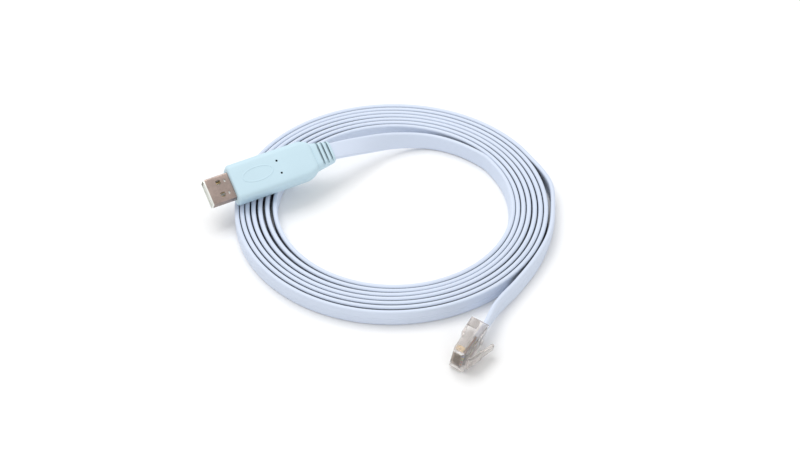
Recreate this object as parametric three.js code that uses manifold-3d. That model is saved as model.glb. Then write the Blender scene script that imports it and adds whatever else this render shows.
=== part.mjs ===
// A console cable: a USB-A plug and an RJ45 plug on a flat eight-wire cable wound on its edge in a flat coil.
// Millimetres, +Z up. It lies on a level floor. +X is the side where the RJ45 end leaves the coil.

import * as THREE from 'three';
import { mergeVertices } from 'three/addons/utils/BufferGeometryUtils.js';
import Module from 'manifold-3d';

const wasm = await Module();
wasm.setup();

// Gaps between pieces
const SEAT_GAP = 0.3;
const BLADE_GAP = 0.12;

// The flat cable
const CABLE_WIDTH = 7.7;
const CABLE_THICKNESS = 2.1;
const CABLE_CORNER = 0.6;
const CABLE_STEP = 5;

// The coil: turns side by side, each standing on its edge
const TURNS = 7;
const TURN_PITCH = 2.42;
const COIL_OUTER_RADIUS = 67.3;
const COIL_SQUASH = 0.951;
const COIL_CENTRE_X = -1.5;
const COIL_CENTRE_Y = 0.4;
const COIL_SEGMENTS = 56;
const TURN_GROOVE_WIDTH = 0.5;
const TURN_GROOVE_DEPTH = 0.8;

// The USB plug's metal shell
const SHELL_WIDTH = 12.0;
const SHELL_HEIGHT = 4.5;
const SHELL_WALL = 0.3;
const SHELL_OUT = 11.2;
const SHELL_IN = 5.0;
const SHELL_CORNER = 0.6;
const SHELL_HOLE = 2.0;
const SHELL_HOLE_SPREAD = 5.6;
const SHELL_HOLE_FROM_MOUTH = 6.0;

// The USB plug's plastic tongue and its contacts
const TONGUE_HEIGHT = 1.85;
const TONGUE_BACK = 0.5;
const USB_CONTACTS = 4;
const USB_CONTACT_PITCH = 2.25;
const USB_CONTACT_WIDTH = 1.1;
const USB_CONTACT_HEIGHT = 0.3;
const USB_CONTACT_LENGTH = 7.5;

// The USB housing with its strain relief, one moulding
const HOUSING_WIDTH = 17.2;
const HOUSING_HEIGHT = 9.2;
const HOUSING_LENGTH = 38.5;
const HOUSING_CORNER = 2.6;
const RELIEF_LENGTH = 8.8;
const RELIEF_START_WIDTH = 12.4;
const RELIEF_END_WIDTH = 9.8;
const RELIEF_START_HEIGHT = 7.0;
const RELIEF_END_HEIGHT = 5.2;
const RELIEF_GROOVES = 3;
const RELIEF_GROOVE_DEPTH = 0.8;
const CABLE_MOUTH_DEPTH = 6.0;
const LAMP_HOLE_RADIUS = 0.55;
const LAMP_HOLE_DEPTH = 1.2;
const LAMP_HOLE_SPREAD = 5.8;
const LAMP_HOLE_FROM_FRONT = 21.6;

// Where the USB housing lies: its front face, its heading and its lean towards the near side
const USB_PLACE = new THREE.Vector2(-69.6, 2.3);
const USB_HEADING = THREE.MathUtils.degToRad(27);
const USB_ROLL = THREE.MathUtils.degToRad(28);

// The RJ45 plug's clear body
const PLUG_WIDTH = 11.68;
const PLUG_LENGTH = 18.6;
const PLUG_FRONT_HEIGHT = 6.6;
const PLUG_REAR_HEIGHT = 7.8;
const PLUG_STEP_FROM_FRONT = 7.0;
const PLUG_SLOPE_LENGTH = 2.6;
const PLUG_CABLE_DEPTH = 7.6;
const PLUG_CABLE_HEIGHT = 2.9;
const PLUG_CABLE_WALL = 0.6;
const LATCH_ROOT_WIDTH = 6.0;
const LATCH_LEVER_WIDTH = 3.6;
const LATCH_THICKNESS = 1.3;
const LATCH_LENGTH = 14.2;
const LATCH_RISE = 4.4;
const LATCH_SHOULDER_FROM_FRONT = 8.0;

// The RJ45 plug's contacts and the wires that lead to them
const CONTACTS = 8;
const CONTACT_PITCH = 1.02;
const CONTACT_THICKNESS = 0.36;
const CONTACT_LENGTH = 3.0;
const CONTACT_HEIGHT = 3.4;
const CONTACT_FROM_FRONT = 0.9;
const CONTACT_BELOW_TOP = 0.6;
const WIRE_RADIUS = 0.42;
const WIRE_GAP = 0.16;

// Where the RJ45 plug stands: the middle of its front face, its heading and its lean onto the latch
const PLUG_PLACE = new THREE.Vector2(25.1, -87.8);
const PLUG_HEADING = THREE.MathUtils.degToRad(61.5);
const PLUG_LEAN = THREE.MathUtils.degToRad(10);

// The uncoiled stretches: points along the cable's middle, and its lean from upright at each point in degrees,
// positive where its top edge leans to the left of its run
const START_ROUTE = [
  [-14.6, 32.3, 10.9, 45],
  [0.0, 40.3, 6.3, 18],
  [14.5, 42.3, 4.1, 7],
  [27.0, 38.1, 4.0, 1.5],
];
const END_ROUTE = [
  [66.7, 14.0, 3.95, 0],
  [67.4, -2.0, 3.95, -2],
  [64.8, -17.3, 3.95, 3],
  [59.0, -31.4, 3.95, -5],
  [50.7, -45.0, 4.05, -8],
  [41.6, -58.0, 4.8, -5],
];

const COLOURS = {
  cable: { color: 0xc3d3ec, roughness: 0.5, metalness: 0 },
  housing: { color: 0xb7dde3, roughness: 0.5, metalness: 0 },
  steel: { color: 0xa09590, roughness: 0.3, metalness: 1 },
  tongue: { color: 0xe8ece4, roughness: 0.5, metalness: 0 },
  gold: { color: 0xc79a4a, roughness: 0.3, metalness: 1 },
  clear: { color: 0xe6e2de, roughness: 0.15, metalness: 0 },
};
const WIRE_COLOURS = [0x8a8f96, 0xc9793a, 0x2f3134, 0xb0392f, 0x3f8a4d, 0xd8c24a, 0x3c63a8, 0x7a5236];

function named(name, geometry, look) {
  const mesh = new THREE.Mesh(geometry, new THREE.MeshStandardMaterial(look));
  mesh.name = name;
  return mesh;
}

function toSolid(geometry) {
  const bare = geometry.clone();
  bare.deleteAttribute('normal');
  bare.deleteAttribute('uv');
  const merged = mergeVertices(bare, 1e-4);
  const solid = new wasm.Mesh({
    numProp: 3,
    vertProperties: new Float32Array(merged.attributes.position.array),
    triVerts: new Uint32Array(merged.index.array),
  });
  return new wasm.Manifold(solid);
}

function toGeometry(solid) {
  const mesh = solid.getMesh();
  const geometry = new THREE.BufferGeometry();
  geometry.setAttribute('position', new THREE.BufferAttribute(new Float32Array(mesh.vertProperties), 3));
  geometry.setIndex(new THREE.BufferAttribute(new Uint32Array(mesh.triVerts), 1));
  return geometry;
}

function joined(base, additions, cuts) {
  let solid = toSolid(base);
  for (const geometry of additions) {
    solid = solid.add(toSolid(geometry));
  }
  for (const geometry of cuts) {
    solid = solid.subtract(toSolid(geometry));
  }
  return toGeometry(solid);
}

function block(sizeX, sizeY, sizeZ, x, y, z) {
  return new THREE.BoxGeometry(sizeX, sizeY, sizeZ).translate(x, y, z);
}

// A rectangle with round corners, centred on the origin
function roundedRectangle(width, height, radius, cornerPoints) {
  const shape = new THREE.Shape();
  const points = [];
  for (let corner = 0; corner < 4; corner += 1) {
    const sideX = corner === 0 || corner === 3 ? 1 : -1;
    const sideY = corner < 2 ? 1 : -1;
    for (let step = 0; step < cornerPoints; step += 1) {
      const angle = (corner + step / (cornerPoints - 1)) * (Math.PI / 2);
      points.push(new THREE.Vector2(
        sideX * (width / 2 - radius) + radius * Math.cos(angle),
        sideY * (height / 2 - radius) + radius * Math.sin(angle),
      ));
    }
  }
  shape.setFromPoints(points);
  return shape;
}

// Extrudes a section along +X: the section's own x runs along Y and its own y along Z
function extrudeAlongX(shape, length, startX, steps = 1) {
  const geometry = new THREE.ExtrudeGeometry(shape, { depth: length, steps, bevelEnabled: false });
  geometry.applyMatrix4(new THREE.Matrix4().makeBasis(
    new THREE.Vector3(0, 1, 0),
    new THREE.Vector3(0, 0, 1),
    new THREE.Vector3(1, 0, 0),
  ));
  return geometry.translate(startX, 0, 0);
}

// A body whose section changes in size from station to station along X
function loft(stations, radius, cornerPoints) {
  const widest = Math.max(...stations.map((station) => station.width));
  const highest = Math.max(...stations.map((station) => station.height));
  const section = roundedRectangle(widest, highest, radius, cornerPoints);
  const last = stations.length - 1;
  const geometry = extrudeAlongX(section, last, 0, last);
  const position = geometry.attributes.position;
  for (let i = 0; i < position.count; i += 1) {
    const station = stations[Math.round(position.getX(i))];
    position.setXYZ(
      i,
      station.x,
      position.getY(i) * (station.width / widest),
      position.getZ(i) * (station.height / highest),
    );
  }
  return geometry;
}

// The middle line of a flat cable, with frames that follow the stated lean
class CableRoute extends THREE.CatmullRomCurve3 {
  constructor(rows) {
    super(rows.map(([x, y, z]) => new THREE.Vector3(x, y, z)), false, 'centripetal');
    this.leans = rows.map((row) => THREE.MathUtils.degToRad(row[3]));
  }

  leanAt(u) {
    const t = this.getUtoTmapping(u) * (this.leans.length - 1);
    const before = Math.min(Math.floor(t), this.leans.length - 2);
    const share = THREE.MathUtils.smoothstep(t - before, 0, 1);
    return THREE.MathUtils.lerp(this.leans[before], this.leans[before + 1], share);
  }

  computeFrenetFrames(segments) {
    const frames = { tangents: [], normals: [], binormals: [] };
    for (let i = 0; i <= segments; i += 1) {
      const tangent = this.getTangentAt(i / segments);
      const left = new THREE.Vector3(0, 0, 1).cross(tangent).normalize();
      const up = tangent.clone().cross(left);
      const lean = this.leanAt(i / segments);
      const across = up.multiplyScalar(Math.cos(lean)).addScaledVector(left, Math.sin(lean));
      frames.tangents.push(tangent);
      frames.normals.push(across);
      frames.binormals.push(tangent.clone().cross(across));
    }
    return frames;
  }
}

function cableAlong(rows) {
  const route = new CableRoute(rows);
  const w = CABLE_WIDTH / 2;
  const t = CABLE_THICKNESS / 2;
  const section = new THREE.Shape([
    new THREE.Vector2(w, -t + CABLE_CORNER),
    new THREE.Vector2(w, t - CABLE_CORNER),
    new THREE.Vector2(w - CABLE_CORNER, t),
    new THREE.Vector2(-w + CABLE_CORNER, t),
    new THREE.Vector2(-w, t - CABLE_CORNER),
    new THREE.Vector2(-w, -t + CABLE_CORNER),
    new THREE.Vector2(-w + CABLE_CORNER, -t),
    new THREE.Vector2(w - CABLE_CORNER, -t),
  ]);
  const steps = Math.ceil(route.getLength() / CABLE_STEP);
  return new THREE.ExtrudeGeometry(section, { steps, extrudePath: route });
}

// Coil

function coilGeometry() {
  const innerRadius = COIL_OUTER_RADIUS - TURNS * TURN_PITCH;
  const top = CABLE_WIDTH;
  const half = TURN_GROOVE_WIDTH / 2;
  const bottomRow = [];
  const topRow = [];
  for (let turn = 0; turn <= TURNS; turn += 1) {
    const r = innerRadius + turn * TURN_PITCH;
    if (turn > 0) {
      bottomRow.push(new THREE.Vector2(r - half, 0));
      topRow.push(new THREE.Vector2(r - half, top));
    }
    if (turn > 0 && turn < TURNS) {
      bottomRow.push(new THREE.Vector2(r, TURN_GROOVE_DEPTH));
      topRow.push(new THREE.Vector2(r, top - TURN_GROOVE_DEPTH));
    }
    if (turn < TURNS) {
      bottomRow.push(new THREE.Vector2(r + half, 0));
      topRow.push(new THREE.Vector2(r + half, top));
    }
  }
  const innerWall = [new THREE.Vector2(innerRadius, top - half), new THREE.Vector2(innerRadius, half)];
  const outerWall = [
    new THREE.Vector2(COIL_OUTER_RADIUS, half),
    new THREE.Vector2(COIL_OUTER_RADIUS, top - half),
  ];
  const profile = [...bottomRow, ...outerWall, ...topRow.reverse(), ...innerWall, bottomRow[0].clone()];
  const geometry = new THREE.LatheGeometry(profile, COIL_SEGMENTS);
  return geometry.rotateX(Math.PI / 2).scale(1, COIL_SQUASH, 1).translate(COIL_CENTRE_X, COIL_CENTRE_Y, 0);
}

// USB plug, with its front face at x = 0, its mouth towards -X and the cable towards +X

function usbHousingGeometry() {
  const full = { width: HOUSING_WIDTH, height: HOUSING_HEIGHT };
  const sized = (x, share, tall = share) => ({ x, width: full.width * share, height: full.height * tall });
  const stations = [
    sized(0, 0.88, 0.8),
    sized(0.5, 0.96, 0.93),
    sized(1.6, 1),
    sized(HOUSING_LENGTH - 7, 1),
    sized(HOUSING_LENGTH - 4, 0.97, 0.99),
    sized(HOUSING_LENGTH - 1.8, 0.9, 0.95),
    sized(HOUSING_LENGTH - 0.4, 0.79, 0.86),
  ];
  const ribs = RELIEF_GROOVES * 2 + 1;
  for (let i = 0; i <= ribs; i += 1) {
    const share = i / ribs;
    const width = THREE.MathUtils.lerp(RELIEF_START_WIDTH, RELIEF_END_WIDTH, share);
    const height = THREE.MathUtils.lerp(RELIEF_START_HEIGHT, RELIEF_END_HEIGHT, share);
    stations.push({ x: HOUSING_LENGTH + share * RELIEF_LENGTH, width, height });
    if (i % 2 === 1 && i < ribs) {
      const x = HOUSING_LENGTH + ((i + 0.5) / ribs) * RELIEF_LENGTH;
      const depth = 2 * RELIEF_GROOVE_DEPTH;
      stations.push({ x, width: width - depth, height: height - depth });
    }
  }
  const body = loft(stations, HOUSING_CORNER, 6);
  const pocket = block(
    2 * (SHELL_IN + SEAT_GAP),
    SHELL_WIDTH + 2 * SEAT_GAP,
    SHELL_HEIGHT + 2 * SEAT_GAP,
    0,
    0,
    0,
  );
  const mouth = block(
    2 * CABLE_MOUTH_DEPTH,
    CABLE_WIDTH + 2 * SEAT_GAP,
    CABLE_THICKNESS + 2 * SEAT_GAP,
    HOUSING_LENGTH + RELIEF_LENGTH,
    0,
    0,
  );
  const lampHoles = [-1, 1].map((side) => new THREE.CylinderGeometry(
    LAMP_HOLE_RADIUS,
    LAMP_HOLE_RADIUS,
    2 * LAMP_HOLE_DEPTH,
    12,
  ).rotateX(Math.PI / 2).translate(LAMP_HOLE_FROM_FRONT, (side * LAMP_HOLE_SPREAD) / 2, HOUSING_HEIGHT / 2));
  return joined(body, [], [pocket, mouth, ...lampHoles]);
}

function usbShellGeometry() {
  const length = SHELL_OUT + SHELL_IN;
  const outer = roundedRectangle(SHELL_WIDTH, SHELL_HEIGHT, SHELL_CORNER, 4);
  const innerWidth = SHELL_WIDTH - 2 * SHELL_WALL;
  const innerHeight = SHELL_HEIGHT - 2 * SHELL_WALL;
  const inner = roundedRectangle(innerWidth, innerHeight, SHELL_CORNER - SHELL_WALL, 4);
  outer.holes.push(new THREE.Path(inner.getPoints().reverse()));
  const tube = extrudeAlongX(outer, length, -SHELL_OUT);
  const holeX = -SHELL_OUT + SHELL_HOLE_FROM_MOUTH;
  const holes = [-1, 1].map((side) => (
    block(SHELL_HOLE, SHELL_HOLE, 2 * SHELL_HEIGHT, holeX, (side * SHELL_HOLE_SPREAD) / 2, 0)
  ));
  return joined(tube, [], holes);
}

function usbTongueGeometry() {
  const clear = 2 * (SHELL_WALL + BLADE_GAP);
  const length = SHELL_OUT + SHELL_IN - TONGUE_BACK;
  const floor = -SHELL_HEIGHT / 2 + clear / 2;
  return block(
    length,
    SHELL_WIDTH - clear - SHELL_CORNER,
    TONGUE_HEIGHT,
    -SHELL_OUT + TONGUE_BACK + length / 2,
    0,
    floor + TONGUE_HEIGHT / 2,
  );
}

function usbContactGeometry(index) {
  const tongueTop = -SHELL_HEIGHT / 2 + SHELL_WALL + BLADE_GAP + TONGUE_HEIGHT;
  return block(
    USB_CONTACT_LENGTH,
    USB_CONTACT_WIDTH,
    USB_CONTACT_HEIGHT,
    -SHELL_OUT + TONGUE_BACK + 1 + USB_CONTACT_LENGTH / 2,
    (index - (USB_CONTACTS - 1) / 2) * USB_CONTACT_PITCH,
    tongueTop + BLADE_GAP + USB_CONTACT_HEIGHT / 2,
  );
}

function usbPlug() {
  const group = new THREE.Group();
  group.add(named('usb_housing', usbHousingGeometry(), COLOURS.housing));
  group.add(named('usb_shell', usbShellGeometry(), COLOURS.steel));
  group.add(named('usb_tongue', usbTongueGeometry(), COLOURS.tongue));
  for (let i = 0; i < USB_CONTACTS; i += 1) {
    group.add(named(`usb_contact_${i + 1}`, usbContactGeometry(i), COLOURS.gold));
  }
  return group;
}

// RJ45 plug, with its front face at x = 0 and the cable towards +X. Its contacts are at +Y and its latch at -Y,
// and its width is along Z.

function plugSideOutline() {
  const top = PLUG_FRONT_HEIGHT / 2;
  const rise = PLUG_REAR_HEIGHT - PLUG_FRONT_HEIGHT;
  const slopeEnd = PLUG_STEP_FROM_FRONT + PLUG_SLOPE_LENGTH;
  return new THREE.Shape([
    new THREE.Vector2(0, -top),
    new THREE.Vector2(PLUG_LENGTH, -top),
    new THREE.Vector2(PLUG_LENGTH, top + rise),
    new THREE.Vector2(slopeEnd, top + rise),
    new THREE.Vector2(PLUG_STEP_FROM_FRONT, top),
    new THREE.Vector2(0, top),
  ]);
}

function extrudeAcross(shape, width) {
  return new THREE.ExtrudeGeometry(shape, { depth: width, bevelEnabled: false }).translate(0, 0, -width / 2);
}

function latchGeometries() {
  const bottom = -PLUG_FRONT_HEIGHT / 2;
  const t = LATCH_THICKNESS;
  const s = LATCH_SHOULDER_FROM_FRONT;
  const yAt = (x) => bottom - (LATCH_RISE * x) / LATCH_LENGTH;
  const root = new THREE.Shape([
    new THREE.Vector2(0, bottom + 0.4),
    new THREE.Vector2(0, bottom - t),
    new THREE.Vector2(s, yAt(s) - t),
    new THREE.Vector2(s, yAt(s)),
    new THREE.Vector2(1.6, yAt(1.6)),
    new THREE.Vector2(1.6, bottom + 0.4),
  ]);
  const lever = new THREE.Shape([
    new THREE.Vector2(s - 1, yAt(s - 1) - t),
    new THREE.Vector2(LATCH_LENGTH, yAt(LATCH_LENGTH) - t),
    new THREE.Vector2(LATCH_LENGTH, yAt(LATCH_LENGTH)),
    new THREE.Vector2(s - 1, yAt(s - 1)),
  ]);
  return [extrudeAcross(root, LATCH_ROOT_WIDTH), extrudeAcross(lever, LATCH_LEVER_WIDTH)];
}

const contactTop = PLUG_FRONT_HEIGHT / 2 - CONTACT_BELOW_TOP;
const contactBottom = contactTop - CONTACT_HEIGHT;
const acrossPlug = (index) => (index - (CONTACTS - 1) / 2) * CONTACT_PITCH;
const cableLevel = -PLUG_FRONT_HEIGHT / 2 + PLUG_CABLE_WALL + PLUG_CABLE_HEIGHT / 2;
const wireLevel = contactBottom - BLADE_GAP - WIRE_RADIUS;
const wireStart = CONTACT_FROM_FRONT;
const wireEnd = PLUG_LENGTH - PLUG_CABLE_DEPTH - SEAT_GAP;

function plugBodyGeometry() {
  const slots = [];
  const slotHeight = PLUG_FRONT_HEIGHT / 2 - contactBottom + BLADE_GAP;
  const slotThickness = CONTACT_THICKNESS + 2 * BLADE_GAP;
  const slotLength = CONTACT_LENGTH + CONTACT_FROM_FRONT + BLADE_GAP;
  for (let i = 0; i < CONTACTS; i += 1) {
    slots.push(block(
      2 * slotLength,
      2 * slotHeight,
      slotThickness,
      0,
      PLUG_FRONT_HEIGHT / 2,
      acrossPlug(i),
    ));
  }
  const channelHeight = 2 * (WIRE_RADIUS + WIRE_GAP);
  const channelWidth = CONTACTS * CONTACT_PITCH + WIRE_GAP;
  const channelLength = PLUG_LENGTH - PLUG_CABLE_DEPTH - wireStart + 2 * WIRE_GAP;
  const channel = block(
    channelLength,
    channelHeight,
    channelWidth,
    wireStart - WIRE_GAP + channelLength / 2,
    wireLevel,
    0,
  );
  const cableHole = block(
    2 * PLUG_CABLE_DEPTH,
    PLUG_CABLE_HEIGHT,
    CABLE_WIDTH + 2 * SEAT_GAP + 1,
    PLUG_LENGTH,
    cableLevel,
    0,
  );
  return joined(extrudeAcross(plugSideOutline(), PLUG_WIDTH), latchGeometries(), [...slots, channel, cableHole]);
}

function plugContactGeometry(index) {
  return block(
    CONTACT_LENGTH,
    CONTACT_HEIGHT,
    CONTACT_THICKNESS,
    CONTACT_FROM_FRONT + CONTACT_LENGTH / 2,
    contactTop - CONTACT_HEIGHT / 2,
    acrossPlug(index),
  );
}

function wireGeometry(index) {
  return new THREE.CylinderGeometry(WIRE_RADIUS, WIRE_RADIUS, wireEnd - wireStart, 8)
    .rotateZ(Math.PI / 2)
    .translate((wireStart + wireEnd) / 2, wireLevel, acrossPlug(index));
}

function rj45Plug() {
  const group = new THREE.Group();
  group.add(named('rj45_body', plugBodyGeometry(), COLOURS.clear));
  for (let i = 0; i < CONTACTS; i += 1) {
    group.add(named(`rj45_contact_${i + 1}`, plugContactGeometry(i), COLOURS.gold));
    group.add(named(`wire_${i + 1}`, wireGeometry(i), { color: WIRE_COLOURS[i], roughness: 0.5, metalness: 0 }));
  }
  return group;
}

// A point of a group's own space as a row of a cable route, with the cable's lean there
function routeRow(group, point, leanDegrees) {
  group.updateMatrixWorld(true);
  const placed = point.clone().applyMatrix4(group.matrixWorld);
  return [placed.x, placed.y, placed.z, leanDegrees];
}

const usb = usbPlug();
usb.rotation.set(USB_ROLL, 0, USB_HEADING, 'ZYX');
const usbRise = (HOUSING_HEIGHT * Math.cos(USB_ROLL) + HOUSING_WIDTH * Math.sin(USB_ROLL)) / 2;
usb.position.set(USB_PLACE.x, USB_PLACE.y, CABLE_WIDTH + SEAT_GAP + usbRise - 0.9);

const rj45 = rj45Plug();
rj45.rotation.set(PLUG_LEAN, 0, PLUG_HEADING, 'ZYX');
const plugRise = (PLUG_WIDTH * Math.cos(PLUG_LEAN) + PLUG_FRONT_HEIGHT * Math.sin(PLUG_LEAN)) / 2;
rj45.position.set(PLUG_PLACE.x, PLUG_PLACE.y, plugRise);

// The cable's ends sit in the two plugs
const housingEnd = HOUSING_LENGTH + RELIEF_LENGTH;
const flatLean = 90 - THREE.MathUtils.radToDeg(USB_ROLL);
const startRows = [
  routeRow(usb, new THREE.Vector3(housingEnd - CABLE_MOUTH_DEPTH + SEAT_GAP, 0, 0), flatLean),
  routeRow(usb, new THREE.Vector3(housingEnd + 1, 0, 0), flatLean),
  ...START_ROUTE,
];
const plugLeanDegrees = THREE.MathUtils.radToDeg(PLUG_LEAN);
const endRows = [
  ...END_ROUTE,
  routeRow(rj45, new THREE.Vector3(PLUG_LENGTH + 1, cableLevel, 0), plugLeanDegrees),
  routeRow(rj45, new THREE.Vector3(PLUG_LENGTH - PLUG_CABLE_DEPTH + SEAT_GAP, cableLevel, 0), plugLeanDegrees),
];

const cable = new THREE.Group();
cable.add(named('cable_coil', coilGeometry(), COLOURS.cable));
cable.add(named('cable_usb_end', cableAlong(startRows), COLOURS.cable));
cable.add(named('cable_rj45_end', cableAlong(endRows), COLOURS.cable));

const part = new THREE.Group();
part.add(cable, usb, rj45);

// The origin is on the floor, under the middle of the whole
const bounds = new THREE.Box3().setFromObject(part, true);
const middle = bounds.getCenter(new THREE.Vector3());
part.position.set(-middle.x, -middle.y, -bounds.min.z);

export default part;
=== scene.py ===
import math

import bmesh
import bpy
from bpy.props import FloatProperty, FloatVectorProperty, PointerProperty
from mathutils import Matrix, Vector


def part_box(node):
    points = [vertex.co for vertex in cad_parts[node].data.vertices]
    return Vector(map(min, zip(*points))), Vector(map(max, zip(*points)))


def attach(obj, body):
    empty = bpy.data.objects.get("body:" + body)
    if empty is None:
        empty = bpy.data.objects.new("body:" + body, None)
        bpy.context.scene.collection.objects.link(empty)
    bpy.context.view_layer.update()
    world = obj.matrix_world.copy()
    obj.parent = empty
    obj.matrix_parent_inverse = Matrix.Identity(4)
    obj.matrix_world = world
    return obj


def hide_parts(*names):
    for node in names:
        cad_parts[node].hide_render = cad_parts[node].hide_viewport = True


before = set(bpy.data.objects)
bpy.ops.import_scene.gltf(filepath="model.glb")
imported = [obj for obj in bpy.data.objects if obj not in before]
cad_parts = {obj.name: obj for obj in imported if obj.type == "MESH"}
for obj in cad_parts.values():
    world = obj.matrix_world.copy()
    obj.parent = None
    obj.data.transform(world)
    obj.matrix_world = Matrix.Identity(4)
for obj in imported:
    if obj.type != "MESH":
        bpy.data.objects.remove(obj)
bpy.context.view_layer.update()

bl_info = {
    "name": "Flat Console Cable",
    "version": (1, 0, 0),
    "blender": (4, 5, 0),
    "location": "3D View > Sidebar > Console Cable",
    "description": "Builds a coiled flat cable with a moulded USB plug and a clear RJ45 plug",
    "category": "Add Mesh",
}

MM = 0.001

# Where the part's own working origin, the middle of the coil, lies in the row frame
COIL_LOW, COIL_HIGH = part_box("cable_coil")
RING_CENTRE = (-1.5, 0.4)
ORIGIN = Vector((
    (COIL_LOW.x + COIL_HIGH.x) / 2 - RING_CENTRE[0] * MM,
    (COIL_LOW.y + COIL_HIGH.y) / 2 - RING_CENTRE[1] * MM,
    0.0,
))

# The photograph's camera: it looks down at 45 degrees, 0.9 m from the coil's middle
PHOTO_WIDTH = 800
PHOTO_HEIGHT = 450
PIXELS_PER_MM = 2.33
CAMERA_DISTANCE = 900.0
CAMERA_ELEVATION = math.radians(45)
COIL_MIDDLE_PIXEL = (395.0, 215.5)

# The flat cable, in millimetres
CABLE_WIDTH = 7.7
CABLE_RING_STEP = 2.2
SEAM_HALF_WIDTH = 0.22
RESTING_HEIGHT = 3.87

# The coil's turns. A heading is in degrees, clockwise from the back, and counts on through all the turns.
TURN_START = 52.0
TURN_END = 7 * 360 + 66.0
TURN_POINT_STEP = 7.5

# Lengths that change round the coil, each as its mean and its sways to the back, the right and both ends: the
# innermost turn's radius, the step from turn to turn, and how far the middle turns are pushed out
INNER_RADIUS = (48.25, -0.1, 0.1, -1.05)
TURN_PITCH = (2.41, -0.085, -0.155, -0.145)
MIDDLE_SPREAD = (0.15, 0.2, -0.5, -0.35)

# The uncoiled stretches: the middle of the cable, and its lean from upright in degrees, positive where its
# top edge leans to the left of its run
START_ROUTE = [
    (-14.6, 32.3, 10.9, 45),
    (0.0, 40.3, 6.3, 18),
    (14.5, 42.3, 4.1, 7),
    (27.0, 38.1, 4.0, 1.5),
]
END_ROUTE = [
    (66.7, 14.0, 3.95, 0),
    (67.4, -2.0, 3.95, -2),
    (64.8, -17.3, 3.95, 3),
    (59.0, -31.4, 3.95, -5),
    (50.7, -45.0, 4.05, -8),
    (41.6, -58.0, 4.8, -5),
]

# At each plug, how far the cable runs straight out, and the gap between its end and the bottom of its hole
CABLE_STRAIGHT_OUT = 1
CABLE_END_GAP = 0.3

# The USB plug, in millimetres: its front face is at x = 0, its mouth towards -X and the cable towards +X
SHELL_WIDTH = 12.0
SHELL_HEIGHT = 4.5
SHELL_WALL = 0.3
SHELL_OUT = 11.2
SHELL_IN = 5.0
SHELL_CORNER = 0.6
SHELL_HOLE = 2.0
SHELL_HOLE_SPREAD = 5.6
SHELL_HOLE_FROM_MOUTH = 6.0
SHELL_SLOT = (0.8, 1.3)
SHELL_SLOT_FROM_MOUTH = 8.9
TONGUE_WIDTH = 10.56
TONGUE_HEIGHT = 1.85
TONGUE_FLOOR = -1.83
USB_CONTACTS = 4
USB_CONTACT_PITCH = 2.25
USB_CONTACT_WIDTH = 1.1
USB_CONTACT_LENGTH = 7.5
HOUSING_WIDTH = 17.2
HOUSING_HEIGHT = 9.2
HOUSING_LENGTH = 38.5
HOUSING_CORNER = 2.6
SHOULDER_LENGTH = 6.2
SHOULDER_ROUNDING = 8.5
SHOULDER_BEYOND = 2.6
HOUSING_BACK_ROUNDING = 1.6
RELIEF_LENGTH = 8.8
RELIEF_START = (12.4, 7.0)
RELIEF_END = (9.8, 5.2)
RELIEF_END_ROUNDING = 0.7
RELIEF_SLOTS = (2.9, 5.0, 7.1)
RELIEF_SLOT_WIDTH = 0.95
RELIEF_SLOT_DEPTH = 1.2
CABLE_MOUTH_DEPTH = 6.0
LAMP_HOLE_RADIUS = 0.5
LAMP_HOLE_DEPTH = 2.2
LAMP_HOLE_SPREAD = 5.8
LAMP_HOLE_FROM_FRONT = 21.6
RIM_CENTRE = (11.8, 0.3)
RIM_RADII = (7.0, 3.1)
GRIP_NOTCHES = 6
GRIP_NOTCH_PITCH = 1.85
GRIP_NOTCH_RADIUS = 0.36
GRIP_NOTCH_SLANT = 0.55
GRIP_NOTCH_LOW = -4.1
GRIP_NOTCH_HIGH = -1.3
GRIP_MIDDLE = 11.6
USB_PLACE = (-69.6, 2.3, 15.199)
USB_HEADING = math.radians(27)
USB_ROLL = math.radians(28)

# The RJ45 plug, in millimetres: its front face is at x = 0 and the cable towards +X. Its contacts are at
# +Y, its latch at -Y, and its width is along Z.
PLUG_WIDTH = 11.68
PLUG_LENGTH = 18.6
PLUG_FRONT_HEIGHT = 6.6
PLUG_REAR_HEIGHT = 7.8
PLUG_STEP = (7.0, 9.6)
PLUG_CABLE_DEPTH = 7.6
PLUG_CABLE_HEIGHT = 2.9
PLUG_CABLE_LEVEL = -1.25
CONTACTS = 8
CONTACT_PITCH = 1.02
CONTACT_THICKNESS = 0.36
CONTACT_LENGTH = 3.0
CONTACT_HEIGHT = 3.4
CONTACT_FROM_FRONT = 0.9
CONTACT_BELOW_TOP = 0.6
SLOT_THICKNESS = 0.46
SLOT_CLEARANCE = 0.12
WIRE_RADIUS = 0.42
WIRE_LEVEL = -1.24
WIRES_PACKED = 0.92
CLAMP_WIDTH = 6.4
RECESS_WIDTH = 7.0
LATCH_ROOT_WIDTH = 6.0
LATCH_LEVER_WIDTH = 3.6
LATCH_THICKNESS = 1.3
LATCH_LENGTH = 14.2
LATCH_RISE = 4.4
LATCH_SHOULDER = 8.0
PLUG_PLACE = (25.1, -87.8, 6.324)
PLUG_HEADING = math.radians(61.5)
PLUG_LEAN = math.radians(10)

# The two soft lights, in metres
KEY_PLACE = (-0.25, 0.3, 0.95)
KEY_SIZE = (0.8, 0.6)
FILL_PLACE = (0.35, -0.9, 0.75)
FILL_SIZE = (0.9, 0.6)
FLOOR_DROP = 0.0001


def spot(x, y, z):
    """A point of the part's own millimetres, in the row frame."""
    return ORIGIN + Vector((x, y, z)) * MM


def pose(place, heading, roll):
    """Where a group lies that is rolled about its own X and then turned."""
    turned = Matrix.Rotation(heading, 4, "Z") @ Matrix.Rotation(roll, 4, "X")
    return Matrix.Translation(spot(*place)) @ turned


USB_POSE = pose(USB_PLACE, USB_HEADING, USB_ROLL)
PLUG_POSE = pose(PLUG_PLACE, PLUG_HEADING, PLUG_LEAN)


# Meshes. They are made in millimetres, at the origin, and then placed.


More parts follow.
